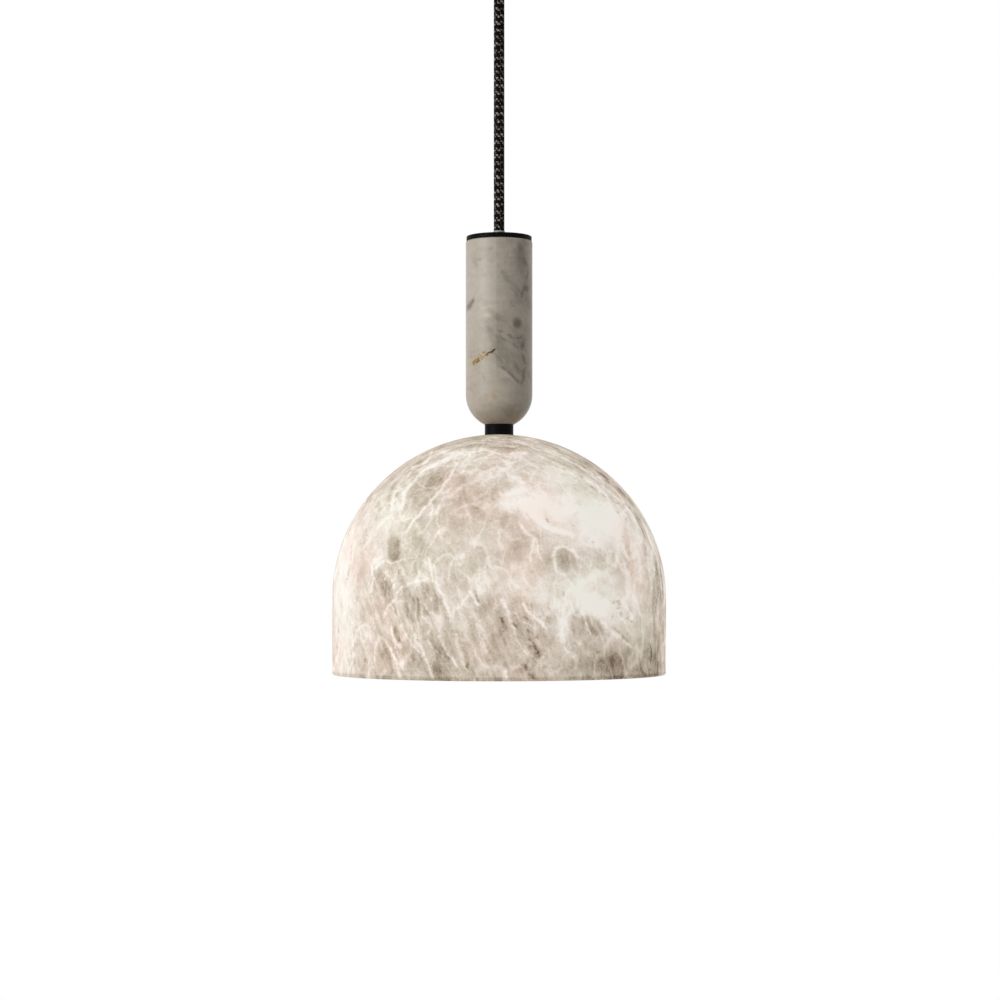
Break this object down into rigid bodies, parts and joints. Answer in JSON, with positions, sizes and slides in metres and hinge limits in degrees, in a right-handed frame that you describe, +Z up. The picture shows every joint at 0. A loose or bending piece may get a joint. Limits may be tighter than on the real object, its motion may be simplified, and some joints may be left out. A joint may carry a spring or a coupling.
{
  "type": "alabaster bowl pendant",
  "caption": "Pendant ceiling light: a lit alabaster dome under a stone stem, hung on a braided cord from a black ceiling canopy.",
  "frame": {"origin": "the ceiling plane on the lamp's axis, where the bracket's top face lies on the ceiling", "axes": "+Z up, into the ceiling, along the hanging cord; +X along the bracket's slots; the picture is seen along +Y"},
  "size_m": [0.2, 0.2, 0.4452],
  "materials": {
    "dome_alabaster": "honed alabaster, pale with cloudy grey patches and white veins, lit from inside",
    "stem_alabaster": "honed grey-beige alabaster with a golden-brown vein, unlit",
    "black_metal": "satin black powder coat",
    "black_rubber": "matte black",
    "zinc_steel": "zinc plated",
    "brass": "bright drawn",
    "cord_textile": "black braided textile with grey flecks",
    "cable_sheath": "smooth black sheath",
    "pale_nylon": "light grey, slightly translucent",
    "white_plastic": "satin white",
    "black_phenolic": "moulded, satin",
    "holder_ceramic": "unglazed white",
    "brown_wire": "smooth brown insulation",
    "blue_wire": "smooth blue insulation",
    "green_wire": "green insulation with a yellow stripe",
    "nickel": "nickel plated",
    "solder": "dull tin",
    "dark_glass": "black vitreous insulator",
    "opal_glass": "satin opal, lit from inside",
    "led_board": "white lacquered board",
    "led_phosphor": "yellow phosphor, lit",
    "driver_board": "green circuit board"
  },
  "bodies": {
    "canopy": {"ceiling_bracket": "zinc_steel", "canopy_cup": "black_metal", "canopy_screws": "black_metal", "earth_screw": "brass", "cord_grip_body": "black_metal", "cord_grip_washer": "zinc_steel", "cord_grip_nut": "zinc_steel", "cord_grip_set_screw": "zinc_steel", "cord_held_end": "cord_textile", "terminal_block": "white_plastic", "terminal_sleeves": "brass", "terminal_screws": "zinc_steel", "terminal_block_pin": "zinc_steel", "canopy_lead_brown": "brown_wire", "canopy_lead_blue": "blue_wire", "canopy_lead_green": "green_wire"},
    "cord_bend": {"cord_bend": "cord_textile"},
    "cord": {"suspension_cord": "cord_textile"},
    "lamp": {"cord_gland": "pale_nylon", "top_cap": "black_metal", "cap_gasket": "black_rubber", "stem_stone": "stem_alabaster", "centring_bush": "pale_nylon", "threaded_tube": "zinc_steel", "cable_core": "cable_sheath", "cable_clamp": "pale_nylon", "neck_collar": "black_metal", "neck_washer_upper": "black_rubber", "neck_washer_lower": "black_rubber", "dome_shade": "dome_alabaster", "dome_pad": "black_rubber", "dome_plate": "black_metal", "lock_washer": "zinc_steel", "tube_nut": "zinc_steel", "holder_cap": "black_phenolic", "holder_set_screw": "zinc_steel", "holder_skirt": "black_phenolic", "holder_insert": "holder_ceramic", "holder_terminals": "brass", "holder_terminal_screws": "zinc_steel", "holder_contact": "brass", "holder_shell": "brass", "stem_lead_brown": "brown_wire", "stem_lead_blue": "blue_wire", "stem_lead_green": "green_wire"},
    "bulb": {"bulb_screw_cap": "nickel", "bulb_insulator": "dark_glass", "bulb_tip": "solder", "bulb_collar": "white_plastic", "bulb_globe": "opal_glass", "bulb_led_board": "led_board", "bulb_leds": "led_phosphor", "bulb_driver_board": "driver_board", "bulb_driver_pins": "solder"}
  },
  "joints": [
    {"name": "swing_side", "type": "hinge", "parent": "canopy", "child": "cord_bend", "pos_m": [0, 0, -0.037], "axis": [0, 1, 0], "range_deg": [-30, 30]},
    {"name": "swing_fore", "type": "hinge", "parent": "cord_bend", "child": "cord", "pos_m": [0, 0, -0.037], "axis": [1, 0, 0], "range_deg": [-30, 30]},
    {"name": "lamp_turn", "type": "hinge", "parent": "cord", "child": "lamp", "pos_m": [0, 0, -0.1792], "axis": [0, 0, 1], "range_deg": [-180, 180]},
    {"name": "bulb_out", "type": "slide", "parent": "lamp", "child": "bulb", "axis": [0, 0, -1], "range_m": [0, 0.025]}
  ]
}
